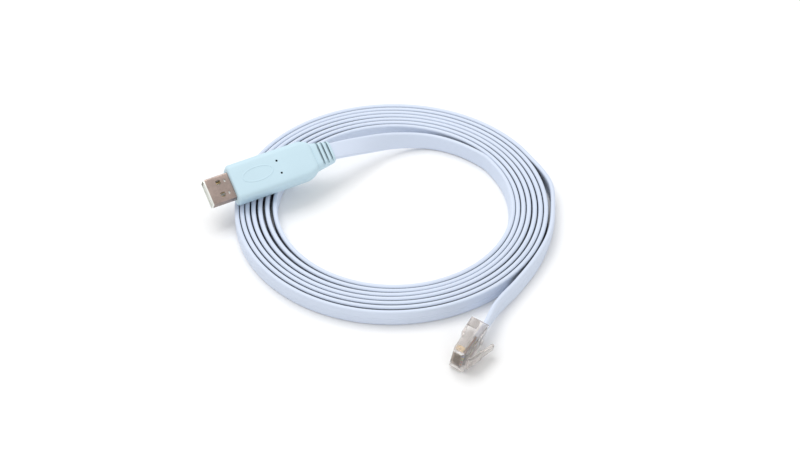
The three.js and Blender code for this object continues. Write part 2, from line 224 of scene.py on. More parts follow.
def mesh_object(name, made, angle=35):
    bmesh.ops.recalc_face_normals(made, faces=made.faces)
    mesh = bpy.data.meshes.new(name)
    made.to_mesh(mesh)
    made.free()
    mesh.shade_smooth()
    mesh.set_sharp_from_angle(angle=math.radians(angle))
    result = bpy.data.objects.new(name, mesh)
    bpy.context.scene.collection.objects.link(result)
    return result


def skinned(name, rings, angle=35, looped=False):
    """A body through rings of points. Its ends are filled, or joined to each other where it is looped."""
    made = bmesh.new()
    rows = [[made.verts.new(point) for point in ring] for ring in rings]
    pairs = list(zip(rows, rows[1:]))
    if looped:
        pairs.append((rows[-1], rows[0]))
    count = len(rows[0])
    for before, after in pairs:
        for i in range(count):
            j = (i + 1) % count
            made.faces.new((before[i], before[j], after[j], after[i]))
    if not looped:
        made.faces.new(reversed(rows[0]))
        made.faces.new(rows[-1])
    return mesh_object(name, made, angle)


def rounded_ring(width, height, radius, corner_steps=6, side_steps=4):
    """Points of a rectangle with round corners, as (y, z)."""
    half_width = width / 2 - radius
    half_height = height / 2 - radius
    points = []
    for corner in range(4):
        y = half_width if corner in (0, 3) else -half_width
        z = half_height if corner < 2 else -half_height
        for step in range(corner_steps + 1):
            angle = (corner + step / corner_steps) * math.pi / 2
            points.append(Vector((y + radius * math.cos(angle), z + radius * math.sin(angle))))
        following = (corner + 1) % 4
        next_y = half_width if following in (0, 3) else -half_width
        next_z = half_height if following < 2 else -half_height
        angle = (corner + 1) * math.pi / 2
        last = points[-1]
        first = Vector((next_y + radius * math.cos(angle), next_z + radius * math.sin(angle)))
        for step in range(1, side_steps):
            points.append(last.lerp(first, step / side_steps))
    return points


def ring_at(x, width, height, radius):
    return [Vector((x, point.x, point.y)) for point in rounded_ring(width, height, radius)]


def tube(name, x_from, x_to, width, height, radius):
    """A rounded bar along X."""
    return skinned(name, [ring_at(x, width, height, radius) for x in (x_from, x_to)])


def prism(name, outline, depth, z=0.0):
    """A flat outline of (x, y) points with a thickness."""
    rings = [[Vector((x, y, z + side * depth / 2)) for x, y in outline] for side in (-1, 1)]
    return skinned(name, rings, angle=30)


def box(name, low, high):
    """A block between two corners."""
    outline = [(low[0], low[1]), (high[0], low[1]), (high[0], high[1]), (low[0], high[1])]
    return prism(name, outline, high[2] - low[2], (low[2] + high[2]) / 2)


def rod(name, radius, start, end, sides=24, rounding=0.0):
    """A round bar between two points, its ends rounded by that much."""
    start = Vector(start)
    end = Vector(end)
    length = (end - start).length
    turn = Vector((0, 0, 1)).rotation_difference(end - start).to_matrix()
    stations = [(0.0, radius), (length, radius)]
    if rounding:
        steps = [i / 4 * math.pi / 2 for i in range(5)]
        near = [(rounding * (1 - math.sin(a)), radius - rounding * (1 - math.cos(a))) for a in steps]
        stations = near[::-1] + [(length - z, r) for z, r in near]
    rings = []
    for z, r in stations:
        angles = [2 * math.pi * i / sides for i in range(sides)]
        rings.append([start + turn @ Vector((r * math.cos(a), r * math.sin(a), z)) for a in angles])
    return skinned(name, rings)


def gathered(name, pieces, angle=35):
    """One object made of several, which are deleted."""
    made = bmesh.new()
    for piece in pieces:
        piece.data.transform(piece.matrix_world)
        made.from_mesh(piece.data)
        bpy.data.objects.remove(piece)
    return mesh_object(name, made, angle)


def settled(made, angle=35):
    """Applies the object's modifiers."""
    bpy.context.view_layer.update()
    depsgraph = bpy.context.evaluated_depsgraph_get()
    mesh = bpy.data.meshes.new_from_object(made.evaluated_get(depsgraph))
    made.modifiers.clear()
    made.data = mesh
    mesh.shade_smooth()
    mesh.set_sharp_from_angle(angle=math.radians(angle))
    return made


def combined(made, others, operation, angle=35):
    """Joins other solids to the object or cuts them out of it. They are deleted."""
    for other in others:
        modifier = made.modifiers.new(operation, "BOOLEAN")
        modifier.operation = operation
        modifier.solver = "EXACT"
        modifier.object = other
    settled(made, angle)
    for other in others:
        bpy.data.objects.remove(other)
    return made


def bevelled(made, width, segments=2, angle=40):
    modifier = made.modifiers.new("edges", "BEVEL")
    modifier.width = width
    modifier.segments = segments
    modifier.limit_method = "ANGLE"
    modifier.angle_limit = math.radians(angle)
    return settled(made, 50)


def finished(made, material, placed=None, nodes=()):
    """Places a piece, dresses it, hangs it under the root and hides the parts that it stands for."""
    if placed is not None:
        made.data.transform(Matrix.Scale(MM, 4))
        made.matrix_world = placed
    made.data.materials.clear()
    made.data.materials.append(material)
    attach(made, "root")
    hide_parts(*nodes)


def edge_inset(distance, radius):
    """How far a rounded edge stands back, at a distance from the face it ends in."""
    if distance >= radius:
        return 0.0
    return radius - math.sqrt(radius ** 2 - (radius - max(distance, 0.0)) ** 2)


# Materials

# The plastic's colour is darkened as painted shade where its own surface closes it in within this reach:
# fully where it is less open than the first value of the band, and not at all where it is more open than the
# second
CREVICE_REACH = 4 * MM
CREVICE_BAND = (0.12, 0.5)
PAINTED_CREVICE_SHADE = 0.18


class Signal:
    """One shader socket. Python's operators on it add Math nodes."""

    def __init__(self, finish, socket):
        self.finish = finish
        self.socket = socket

    def maths(self, operation, first, second):
        return self.finish.node("ShaderNodeMath", {"operation": operation}, {0: first, 1: second})

    def __add__(self, other):
        return self.maths("ADD", self, other)

    def __radd__(self, other):
        return self.maths("ADD", other, self)

    def __sub__(self, other):
        return self.maths("SUBTRACT", self, other)

    def __rsub__(self, other):
        return self.maths("SUBTRACT", other, self)

    def __mul__(self, other):
        return self.maths("MULTIPLY", self, other)

    def __rmul__(self, other):
        return self.maths("MULTIPLY", other, self)


class Finish:
    """A material in the making."""

    def __init__(self, name, **constants):
        self.material = bpy.data.materials.new(name)
        self.material.use_nodes = True
        self.tree = self.material.node_tree
        self.tree.nodes.clear()
        self.surface = self.tree.nodes.new("ShaderNodeBsdfPrincipled")
        output = self.tree.nodes.new("ShaderNodeOutputMaterial")
        self.tree.links.new(self.surface.outputs[0], output.inputs["Surface"])
        for socket, value in constants.items():
            self.surface.inputs[socket.replace("_", " ")].default_value = value

    def feed(self, socket, value):
        if isinstance(value, Signal):
            self.tree.links.new(value.socket, socket)
        else:
            socket.default_value = value

    def node(self, kind, settings=None, sockets=None, output=0):
        made = self.tree.nodes.new(kind)
        for name, value in (settings or {}).items():
            setattr(made, name, value)
        for name, value in (sockets or {}).items():
            self.feed(made.inputs[name], value)
        return Signal(self, made.outputs[output])

    def place(self, stretch=(1, 1, 1)):
        """The piece's own coordinates in metres, stretched along its axes."""
        own = self.node("ShaderNodeTexCoord", output="Object")
        return self.node("ShaderNodeMapping", {}, {"Vector": own, "Scale": stretch})

    def noise(self, vector, scale, detail=2.0, roughness=0.5):
        sockets = {"Vector": vector, "Scale": scale, "Detail": detail, "Roughness": roughness}
        return self.node("ShaderNodeTexNoise", {}, sockets)

    def band(self, value, low, high):
        """0 below low, 1 above high, and smooth between them."""
        sockets = {"Value": value, "From Min": low, "From Max": high}
        return self.node("ShaderNodeMapRange", {"interpolation_type": "SMOOTHSTEP"}, sockets)

    def mix(self, factor, first, second):
        return self.node("ShaderNodeMix", {"data_type": "RGBA"}, {0: factor, 6: first, 7: second}, output=2)

    def openness(self, reach):
        """0 deep in one of the piece's own crevices, 1 where none of it is near. It masks the painted shade.
        """
        settings = {"samples": 8, "only_local": True}
        return self.node("ShaderNodeAmbientOcclusion", settings, {"Distance": reach}, output=1)

    def bump(self, height, distance, strength=1.0):
        sockets = {"Height": height, "Distance": distance, "Strength": strength}
        return self.node("ShaderNodeBump", {}, sockets)

    def wear(self, **links):
        """Feeds the shader with what changes over the surface."""
        for socket, value in links.items():
            self.feed(self.surface.inputs[socket.replace("_", " ")], value)
        return self.material


def linear(red, green, blue):
    """A colour given as it looks on a screen, from 0 to 255, as the shader wants it."""
    channels = []
    for value in (red, green, blue):
        share = value / 255
        channels.append(share / 12.92 if share <= 0.04045 else ((share + 0.055) / 1.055) ** 2.4)
    return (*channels, 1.0)


def scaled(colour, factor):
    return (*(min(1.0, channel * factor) for channel in colour[:3]), 1.0)


WIRE_COLOURS = [
    linear(138, 143, 150),
    linear(201, 121, 58),
    linear(47, 49, 52),
    linear(176, 57, 47),
    linear(63, 138, 77),
    linear(216, 194, 74),
    linear(60, 99, 168),
    linear(122, 82, 54),
]


def plastic_finish(name, colour, cloud_scale, grain_scale, roughness=0.4):
    finish = Finish(name, Specular_IOR_Level=0.45)
    place = finish.place()
    cloud = finish.noise(place, cloud_scale, 3)
    grain = finish.noise(place, grain_scale, 3)
    clean = finish.mix(cloud, scaled(colour, 0.96), scaled(colour, 1.03))
    # Painted shade: the base colour is darkened in the piece's own crevices and gaps, where shade falls
    open_to_light = finish.band(finish.openness(CREVICE_REACH), *CREVICE_BAND)
    return finish.wear(
        Base_Color=finish.mix(open_to_light, scaled(colour, PAINTED_CREVICE_SHADE), clean),
        Roughness=roughness + 0.12 * cloud,
        Normal=finish.bump(grain, 0.00002, 0.3),
    )


def steel_finish(colour, lip):
    finish = Finish("usb_shell_steel", Metallic=1.0)
    brushed = finish.noise(finish.place((0.35, 1, 1)), 2600, 4, 0.65)
    grain = finish.noise(finish.place(), 1500, 4, 0.6)
    stains = finish.noise(finish.place(), 260, 3, 0.6)
    shade = finish.mix(finish.band(stains, 0.35, 0.7), scaled(colour, 0.9), scaled(colour, 1.06))
    speckled = finish.mix(0.35 * finish.band(grain, 0.45, 0.75), shade, scaled(colour, 0.55))
    own = finish.node("ShaderNodeTexCoord", output="Object")
    along = finish.node("ShaderNodeSeparateXYZ", {}, {"Vector": own})
    rubbed = finish.band(along, -(SHELL_OUT - 0.5) * MM, -(SHELL_OUT - 0.9) * MM)
    return finish.wear(
        Base_Color=finish.mix(rubbed, lip, speckled),
        Roughness=0.24 + 0.2 * brushed,
        Normal=finish.bump(brushed, 0.00002, 0.3),
    )


def gold_finish(name, colour):
    finish = Finish(name, Metallic=0.55)
    place = finish.place()
    cloud = finish.noise(place, 700, 3)
    return finish.wear(
        Base_Color=finish.mix(cloud, scaled(colour, 0.8), scaled(colour, 1.1)),
        Roughness=0.2 + 0.15 * cloud,
        Normal=finish.bump(finish.noise(place, 4000, 2), 0.00001, 0.2),
    )


def clear_finish(colour):
    finish = Finish("rj45_clear_plastic", Transmission_Weight=0.88, IOR=1.42)
    place = finish.place()
    cloud = finish.noise(place, 350, 3)
    ripple = finish.noise(place, 600, 2)
    return finish.wear(
        Base_Color=finish.mix(cloud, scaled(colour, 0.94), scaled(colour, 1.04)),
        Roughness=0.03 + 0.08 * cloud,
        Normal=finish.bump(ripple, 0.00004, 0.5),
    )


# The cable's route


def sway(heading, mean, back, right, ends):
    """A length that changes round the coil: its mean, and its sways to the back, the right and both ends."""
    round_once = back * math.cos(heading) + right * math.sin(heading)
    return mean + round_once + ends * math.cos(2 * heading)


def turn_radius(degrees):
    """How far the cable's middle is from the coil's middle."""
    heading = math.radians(degrees)
    turns = degrees / 360
    inner = sway(heading, *INNER_RADIUS)
    pitch = sway(heading, *TURN_PITCH)
    middle_turns = math.sin(math.pi * min(max((turns - 0.75) / 6, 0), 1))
    spread = sway(heading, *MIDDLE_SPREAD) * middle_turns
    wander = 0.06 * math.sin(2.3 * heading + 0.7) + 0.04 * math.sin(0.83 * heading)
    return inner + pitch * turns + spread + wander


def turn_rows():
    rows = []
    degrees = TURN_START
    while degrees <= TURN_END + 1e-6:
        radius = turn_radius(degrees)
        heading = math.radians(degrees)
        first_turn = max(0.0, 1 - abs(degrees - 100) / 60)
        lean = 1.2 * math.sin(1.7 * heading) + 8 * first_turn
        lift = 0.05 + 0.05 * math.sin(0.61 * heading)
        rows.append((
            radius * math.sin(heading),
            radius * math.cos(heading),
            RESTING_HEIGHT + lift,
            lean,
        ))
        degrees += TURN_POINT_STEP
    return rows


def row_in(placed, point, lean):
    """A point of a plug's own millimetres as a row of the route."""
    middle = (placed @ (Vector(point) * MM) - ORIGIN) / MM
    return (*middle, lean)


def cable_rows():
    housing_end = HOUSING_LENGTH + RELIEF_LENGTH
    flat_lean = 90 - math.degrees(USB_ROLL)
    plug_lean = math.degrees(PLUG_LEAN)
    jacket_end = PLUG_LENGTH - PLUG_CABLE_DEPTH + CABLE_END_GAP
    return [
        row_in(USB_POSE, (housing_end - CABLE_MOUTH_DEPTH + CABLE_END_GAP, 0, 0), flat_lean),
        row_in(USB_POSE, (housing_end + CABLE_STRAIGHT_OUT, 0, 0), flat_lean),
        *START_ROUTE,
        *turn_rows(),
        *END_ROUTE,
        row_in(PLUG_POSE, (PLUG_LENGTH + CABLE_STRAIGHT_OUT, PLUG_CABLE_LEVEL, 0), plug_lean),
        row_in(PLUG_POSE, (jacket_end, PLUG_CABLE_LEVEL, 0), plug_lean),
    ]


def smooth_rows(rows, step):
    """Finely spaced rows on a smooth line through the given ones."""
    rows = [Vector(row) for row in rows]
    lengths = [0.0]
    for before, after in zip(rows, rows[1:]):
        lengths.append(lengths[-1] + (after.xyz - before.xyz).length)

    def slope(i):
        low = max(i - 1, 0)
        high = min(i + 1, len(rows) - 1)
        return (rows[high] - rows[low]) / (lengths[high] - lengths[low])

    fine = []
    for i in range(len(rows) - 1):
        span = lengths[i + 1] - lengths[i]
        pieces = max(2, math.ceil(4 * span / step))
        for k in range(pieces):
            t = k / pieces
            fine.append(
                rows[i] * (2 * t ** 3 - 3 * t ** 2 + 1)
                + slope(i) * (span * (t ** 3 - 2 * t ** 2 + t))
                + rows[i + 1] * (3 * t ** 2 - 2 * t ** 3)
                + slope(i + 1) * (span * (t ** 3 - t ** 2))
            )
    return fine + [rows[-1]]


def cable_line():
    """The cable's middle in even steps, as rows of (x, y, z, lean), and its length, in millimetres."""
    fine = smooth_rows(cable_rows(), CABLE_RING_STEP)
    travelled = [0.0]
    for before, after in zip(fine, fine[1:]):
        travelled.append(travelled[-1] + (after.xyz - before.xyz).length)
    total = travelled[-1]
    count = round(total / CABLE_RING_STEP)
    even = []
    at = 0
    for i in range(count + 1):
        target = total * i / count
        while at < len(fine) - 2 and travelled[at + 1] < target:
            at += 1
        share = (target - travelled[at]) / (travelled[at + 1] - travelled[at])
        even.append(fine[at].lerp(fine[at + 1], share))
    return even, total


def cable_section(thickness, radius, seam):
    """The flat cable's section as (across its width, through it), with a fine seam on its outer face."""
    half_width = CABLE_WIDTH / 2
    half_thick = thickness / 2
    points = []
    for quarter in range(4):
        side_w = 1 if quarter in (0, 3) else -1
        side_t = 1 if quarter < 2 else -1
        for step in range(6):
            angle = (quarter + step / 5) * math.pi / 2
            points.append((
                side_w * (half_width - radius) + radius * math.cos(angle),
                side_t * (half_thick - radius) + radius * math.sin(angle),
            ))
        if quarter == 0:
            points += [(w, half_thick) for w in (1.5, 0, -1.5)]
        if quarter == 2:
            points += [
                (-1.5, -half_thick),
                (-SEAM_HALF_WIDTH, -half_thick),
                (-SEAM_HALF_WIDTH * 0.4, -half_thick - seam),
                (SEAM_HALF_WIDTH * 0.4, -half_thick - seam),
                (SEAM_HALF_WIDTH, -half_thick),
                (1.5, -half_thick),
            ]
    return points


def cable_body(section):
    even, _ = cable_line()
    rings = []
    for i, row in enumerate(even):
        before = even[max(i - 1, 0)].xyz
        after = even[min(i + 1, len(even) - 1)].xyz
        run = (after - before).normalized()
        left = Vector((0, 0, 1)).cross(run).normalized()
        up = run.cross(left)
        lean = math.radians(row[3])
        across = up * math.cos(lean) + left * math.sin(lean)
        through = run.cross(across)
        rings.append([spot(*(row.xyz + across * w + through * t)) for w, t in section])
    return skinned("flat_cable", rings, angle=60)


# The USB plug


def housing_rings(rounding):
    """The housing from its front face to the strain relief."""
    rings = []
    for i in range(8):
        x = rounding * (1 - math.cos(i / 7 * math.pi / 2))
        inset = edge_inset(x, rounding)
        width = HOUSING_WIDTH - 2 * inset
        height = HOUSING_HEIGHT - 2 * inset
        rings.append(ring_at(x, width, height, HOUSING_CORNER - inset / 2))
    for x in (8, 16, 24, 31):
        rings.append(ring_at(x, HOUSING_WIDTH, HOUSING_HEIGHT, HOUSING_CORNER))
    for i in range(15):
        x = HOUSING_LENGTH - SHOULDER_LENGTH * (1 - math.sin(i / 14 * math.pi / 2))
        width = HOUSING_WIDTH - 2 * edge_inset(HOUSING_LENGTH + SHOULDER_BEYOND - x, SHOULDER_ROUNDING)
        height = HOUSING_HEIGHT - 2 * edge_inset(HOUSING_LENGTH - x, HOUSING_BACK_ROUNDING)
        width = max(width, RELIEF_START[0])
        height = max(height, RELIEF_START[1])
        rings.append(ring_at(x, width, height, HOUSING_CORNER))
    return rings


def relief_size(along):
    """The strain relief's width and height there."""
    share = along / RELIEF_LENGTH
    return [first + (last - first) * share for first, last in zip(RELIEF_START, RELIEF_END)]


def relief_rings():
    rings = []
    for i in range(1, 41):
        along = RELIEF_LENGTH * (1 - (1 - i / 40) ** 1.6)
        inset = edge_inset(RELIEF_LENGTH - along, RELIEF_END_ROUNDING)
        width, height = (size - 2 * inset for size in relief_size(along))
        rings.append(ring_at(HOUSING_LENGTH + along, width, height, min(2.3, height / 2 - 0.1)))
    return rings


def relief_slots():
    """Cutters for the slots across the strain relief, above and below. They end short of its sides."""
    cutters = []
    for along in RELIEF_SLOTS:
        width, height = relief_size(along)
        for side in (-1, 1):
            floor = side * (height / 2 - RELIEF_SLOT_DEPTH)
            low = (HOUSING_LENGTH + along - RELIEF_SLOT_WIDTH / 2, 0.5 - width / 2, min(floor, 5 * side))
            high = (HOUSING_LENGTH + along + RELIEF_SLOT_WIDTH / 2, width / 2 - 0.5, max(floor, 5 * side))
            cutters.append(bevelled(box("relief_slot", low, high), 0.12))
    return cutters


def rim_ring(height):
    """The low oval rim on the housing's top."""
    near = [(-0.42, -0.2), (-0.3, height * 0.5), (-0.12, height)]
    section = near + [(-w, h) for w, h in reversed(near)]
    rings = []
    for i in range(96):
        angle = 2 * math.pi * i / 96
        middle = Vector((RIM_RADII[0] * math.cos(angle), RIM_RADII[1] * math.sin(angle), 0))
        outwards = Vector((middle.x / RIM_RADII[0] ** 2, middle.y / RIM_RADII[1] ** 2, 0)).normalized()
        foot = Vector((*RIM_CENTRE, HOUSING_HEIGHT / 2)) + middle
        rings.append([foot + outwards * w + Vector((0, 0, h)) for w, h in section])
    return skinned("rim", rings, looped=True)


def grip_notches():
    """Slanted cutters along the lower edge of the side that faces the photograph's camera."""
    cutters = []
    for i in range(GRIP_NOTCHES):
        x = GRIP_MIDDLE + (i - (GRIP_NOTCHES - 1) / 2) * GRIP_NOTCH_PITCH
        start = (x - GRIP_NOTCH_SLANT, -HOUSING_WIDTH / 2 + 0.1, GRIP_NOTCH_LOW)
        end = (x + GRIP_NOTCH_SLANT, -HOUSING_WIDTH / 2 + 0.02, GRIP_NOTCH_HIGH)
        cutters.append(rod("notch", GRIP_NOTCH_RADIUS, start, end, 16, 0.3))
    return cutters


def usb_moulding(rounding, rim_height):
    body = skinned("usb_moulding", housing_rings(rounding) + relief_rings())
    housing_end = HOUSING_LENGTH + RELIEF_LENGTH
    pocket = tube("pocket", -1, SHELL_IN + 0.2, SHELL_WIDTH + 0.24, SHELL_HEIGHT + 0.24, SHELL_CORNER + 0.1)
    mouth = tube("mouth", housing_end - CABLE_MOUTH_DEPTH, housing_end + 1, CABLE_WIDTH + 0.4, 2.5, 1.1)
    cutters = [pocket, mouth, *grip_notches(), *relief_slots()]
    for side in (-1, 1):
        place = (LAMP_HOLE_FROM_FRONT, side * LAMP_HOLE_SPREAD / 2)
        foot = (*place, HOUSING_HEIGHT / 2 - LAMP_HOLE_DEPTH)
        cutters.append(rod("lamp_hole", LAMP_HOLE_RADIUS, foot, (*place, HOUSING_HEIGHT), 20))
    combined(body, [gathered("cutters", cutters)], "DIFFERENCE", 30)
    return gathered("usb_moulding", [body, rim_ring(rim_height)], 30)


def usb_shell():
    mouth = -SHELL_OUT
    outer = [(SHELL_IN, 0.0), (mouth + 0.7, 0.0), (mouth + 0.3, 0.05), (mouth + 0.08, 0.12), (mouth, 0.2)]
    inner = [(mouth + 0.04, SHELL_WALL), (mouth + 0.5, SHELL_WALL), (SHELL_IN, SHELL_WALL)]
    rings = []
    for x, inset in outer + inner:
        corner = max(SHELL_CORNER - inset, 0.2)
        rings.append(ring_at(x, SHELL_WIDTH - 2 * inset, SHELL_HEIGHT - 2 * inset, corner))
    shell = skinned("usb_plug_shell", rings, looped=True)
    cutters = []
    for side in (-1, 1):
        middle = side * SHELL_HOLE_SPREAD / 2
        for x, length, width in (
            (mouth + SHELL_HOLE_FROM_MOUTH, SHELL_HOLE, SHELL_HOLE),
            (mouth + SHELL_SLOT_FROM_MOUTH, *SHELL_SLOT),
        ):
            low = (x - length / 2, middle - width / 2, -SHELL_HEIGHT)
            high = (x + length / 2, middle + width / 2, SHELL_HEIGHT)
            cutters.append(bevelled(box("hole", low, high), 0.15))
    seam_depth = SHELL_HEIGHT / 2 - 0.12
    cutters.append(box("seam", (mouth - 1, -0.05, -SHELL_HEIGHT), (SHELL_IN - 1, 0.05, -seam_depth)))
    return combined(shell, [gathered("cutters", cutters)], "DIFFERENCE", 30)


def usb_tongue():
    """The insulator: a tongue with its chamfered tip, and the block that fills the shell's root."""
    tip = -SHELL_OUT + 0.5
    top = TONGUE_FLOOR + TONGUE_HEIGHT
    outline = [
        (tip, TONGUE_FLOOR + 0.4),
        (tip + 0.5, TONGUE_FLOOR),
        (SHELL_IN, TONGUE_FLOOR),
        (SHELL_IN, top),
        (tip + 0.7, top),
        (tip, top - 0.6),
    ]
    rings = [[Vector((x, side * TONGUE_WIDTH / 2, z)) for x, z in outline] for side in (-1, 1)]
    tongue = bevelled(skinned("tongue", rings), 0.12)
    root = tube("root", -3.6, SHELL_IN, SHELL_WIDTH - 0.9, SHELL_HEIGHT - 0.9, 0.3)
    return combined(tongue, [root], "UNION", 30)


def usb_strips():
    """The four contacts, each with its tip bent down over the tongue's chamfer."""
    top = TONGUE_FLOOR + TONGUE_HEIGHT
    front = -SHELL_OUT + 1.25
    strips = []
    for i in range(USB_CONTACTS):
        middle = (i - (USB_CONTACTS - 1) / 2) * USB_CONTACT_PITCH
        outline = [
            (front, top - 0.35),
            (front + 0.5, top - 0.05),
            (front + USB_CONTACT_LENGTH, top - 0.05),
            (front + USB_CONTACT_LENGTH, top + 0.18),
            (front + 0.6, top + 0.18),
            (front, top - 0.1),
        ]
        rings = []
        for side in (-1, 1):
            y = middle + side * USB_CONTACT_WIDTH / 2
            rings.append([Vector((x, y, z)) for x, z in outline])
        strips.append(bevelled(skinned("strip", rings), 0.06))
    return gathered("usb_gold_strips", strips, 50)


# The RJ45 plug


def across_plug(index):
    return (index - (CONTACTS - 1) / 2) * CONTACT_PITCH


def latch_level(x):
    """How low the latch's upper face is there."""
    return -PLUG_FRONT_HEIGHT / 2 - LATCH_RISE * x / LATCH_LENGTH


def latch_parts():
    bottom = -PLUG_FRONT_HEIGHT / 2
    under = LATCH_THICKNESS
    root = [
        (0.25, bottom + 0.4),
        (0.0, bottom - 0.3),
        (0.35, bottom - under),
        (LATCH_SHOULDER, latch_level(LATCH_SHOULDER) - under),
        (LATCH_SHOULDER, latch_level(LATCH_SHOULDER)),
        (2.2, latch_level(2.2)),
        (1.7, latch_level(1.7) + 0.2),
        (1.6, bottom + 0.4),
    ]
    start = LATCH_SHOULDER - 1.2
    lever = [
        (start, latch_level(start) - under),
        (LATCH_LENGTH - 0.3, latch_level(LATCH_LENGTH) - under),
        (LATCH_LENGTH, latch_level(LATCH_LENGTH) - under + 0.35),
        (LATCH_LENGTH, latch_level(LATCH_LENGTH) - 0.3),
        (LATCH_LENGTH - 0.9, latch_level(LATCH_LENGTH - 0.9) - 0.02),
        (start, latch_level(start) - 0.02),
    ]
    return [
        bevelled(prism("latch_root", root, LATCH_ROOT_WIDTH), 0.14),
        bevelled(prism("latch_lever", lever, LATCH_LEVER_WIDTH), 0.14),
    ]


def plug_cutters():
    """The slots, the wires' channel, the cable's hole and the pressed-in clamp."""
    top = PLUG_FRONT_HEIGHT / 2
    slot_floor = top - CONTACT_BELOW_TOP - CONTACT_HEIGHT - SLOT_CLEARANCE
    slot_end = CONTACT_FROM_FRONT + CONTACT_LENGTH + SLOT_CLEARANCE
    cutters = []
    for i in range(CONTACTS):
        z = across_plug(i)
        low = (-1, slot_floor, z - SLOT_THICKNESS / 2)
        high = (slot_end, top + 3, z + SLOT_THICKNESS / 2)
        cutters.append(box("contact_slot", low, high))
    jacket_end = PLUG_LENGTH - PLUG_CABLE_DEPTH
    half_wires = CONTACTS * CONTACT_PITCH / 2 + 0.1
    channel = prism("channel", [
        (CONTACT_FROM_FRONT - 0.16, WIRE_LEVEL - 0.58),
        (4.6, WIRE_LEVEL - 0.58),
        (6.0, WIRE_LEVEL - 1.15),
        (jacket_end + 0.1, WIRE_LEVEL - 1.35),
        (jacket_end + 0.1, WIRE_LEVEL + 1.35),
        (6.0, WIRE_LEVEL + 1.15),
        (4.6, WIRE_LEVEL + 0.58),
        (CONTACT_FROM_FRONT - 0.16, WIRE_LEVEL + 0.58),
    ], 2 * half_wires)
    half_hole = (CABLE_WIDTH + 1.2) / 2
    hole_low = PLUG_CABLE_LEVEL - PLUG_CABLE_HEIGHT / 2
    hole_high = PLUG_CABLE_LEVEL + PLUG_CABLE_HEIGHT / 2
    hole = prism("cable_hole", [
        (jacket_end, hole_low),
        (PLUG_LENGTH - 1.2, hole_low),
        (PLUG_LENGTH + 1, hole_low - 0.5),
        (PLUG_LENGTH + 1, hole_high + 1.1),
        (PLUG_LENGTH - 1.2, hole_high),
        (jacket_end, hole_high),
    ], 2 * half_hole)
    clamp = prism("clamp", [
        (11.9, -PLUG_FRONT_HEIGHT / 2 - 1),
        (12.3, hole_low - 0.15),
        (14.2, hole_low - 0.15),
        (14.6, -PLUG_FRONT_HEIGHT / 2 - 1),
    ], CLAMP_WIDTH)
    recess = prism("recess", [
        (10.6, PLUG_REAR_HEIGHT - top + 1),
        (11.0, PLUG_REAR_HEIGHT - top - 1.3),
        (12.6, PLUG_REAR_HEIGHT - top - 1.3),
        (13.4, PLUG_REAR_HEIGHT - top + 1),
    ], RECESS_WIDTH)
    return cutters, [channel, hole, clamp, recess]


def plug_body(edge):
    top = PLUG_FRONT_HEIGHT / 2
    rear_top = PLUG_REAR_HEIGHT - top
    outline = [
        (0, -top),
        (PLUG_LENGTH, -top),
        (PLUG_LENGTH, rear_top),
        (PLUG_STEP[1], rear_top),
        (PLUG_STEP[0], top),
        (0.5, top),
        (0, top - 0.5),
    ]
    body = bevelled(prism("rj45_clear_body", outline, PLUG_WIDTH), edge, 3)
    combined(body, latch_parts(), "UNION")
    slots, hollows = plug_cutters()
    return combined(body, [gathered("slots", slots), *hollows], "DIFFERENCE", 30)


def plug_blades():
    """The eight contacts: each a thin blade with a rounded nose, two teeth and a step down behind."""
    top = PLUG_FRONT_HEIGHT / 2 - CONTACT_BELOW_TOP
    low = top - CONTACT_HEIGHT
    front = CONTACT_FROM_FRONT
    back = front + CONTACT_LENGTH
    nose = []
    for angle in (0, 0.4, 0.8, 1.2, 1.57):
        nose.append((front + 0.6 - 0.6 * math.sin(angle), top - 0.6 + 0.6 * math.cos(angle)))
    outline = nose + [
        (front, low + 0.3),
        (front + 0.5, low + 0.3),
        (front + 0.8, low - 0.35),
        (front + 1.1, low + 0.3),
        (back - 1.1, low + 0.3),
        (back - 0.8, low - 0.35),
        (back - 0.5, low + 0.3),
        (back, low + 0.3),
        (back, top - 0.9),
        (back - 0.3, top),
    ]
    blades = [prism("blade", outline, CONTACT_THICKNESS, across_plug(i)) for i in range(CONTACTS)]
    return gathered("rj45_blades", blades)


def plug_wire(index):
    z = across_plug(index)
    packed = z * WIRES_PACKED
    start = CONTACT_FROM_FRONT
    end = PLUG_LENGTH - PLUG_CABLE_DEPTH + 0.25
    rings = []
    for i in range(25):
        share = i / 24
        bend = min(max((share - 0.45) / 0.4, 0.0), 1.0)
        bend = bend * bend * (3 - 2 * bend)
        middle = Vector((
            start + share * (end - start),
            WIRE_LEVEL + 0.05 * math.sin(5 * share + index),
            z + (packed - z) * bend,
        ))
        angles = [2 * math.pi * k / 20 for k in range(20)]
        rings.append([
            middle + Vector((0, WIRE_RADIUS * math.cos(a), WIRE_RADIUS * math.sin(a))) for a in angles
        ])
    return skinned(f"plug_wire_{index + 1}", rings)


# Sizes and colours that a user would change


def length_property(name, description, default, low, high):
    return FloatProperty(
        name=name, description=description, default=default * MM, min=low * MM, max=high * MM,
        subtype="DISTANCE", unit="LENGTH", precision=5,
    )


def colour_property(name, description, default):
    return FloatVectorProperty(
        name=name, description=description, default=default, subtype="COLOR", size=4, min=0, max=1,
    )


class CableLooks(bpy.types.PropertyGroup):
    jacket: colour_property("Jacket", "Colour of the flat cable's jacket", linear(212, 222, 239))
    thickness: length_property("Thickness", "Thickness of the flat cable", 1.97, 1.5, 2.3)
    edge_radius: length_property("Edge radius", "Rounding of the flat cable's two edges", 0.9, 0.2, 1.0)
    seam_height: length_property("Seam height", "Height of the fine seam on the outer face", 0.07, 0.0, 0.2)


class UsbLooks(bpy.types.PropertyGroup):
    moulding: colour_property("Moulding", "Colour of the housing", linear(197, 222, 233))
    steel: colour_property("Steel", "Colour of the shell", linear(174, 157, 149))
    lip: colour_property("Lip", "Colour of the shell's rubbed lip", linear(244, 246, 240))
    insulator: colour_property("Insulator", "Colour of the tongue", linear(236, 238, 234))
    front_rounding: length_property("Front rounding", "Rounding of the housing's front edge", 1.3, 0.2, 2.0)
    rim_height: length_property("Rim height", "Height of the oval rim on the housing", 0.14, 0.0, 0.4)


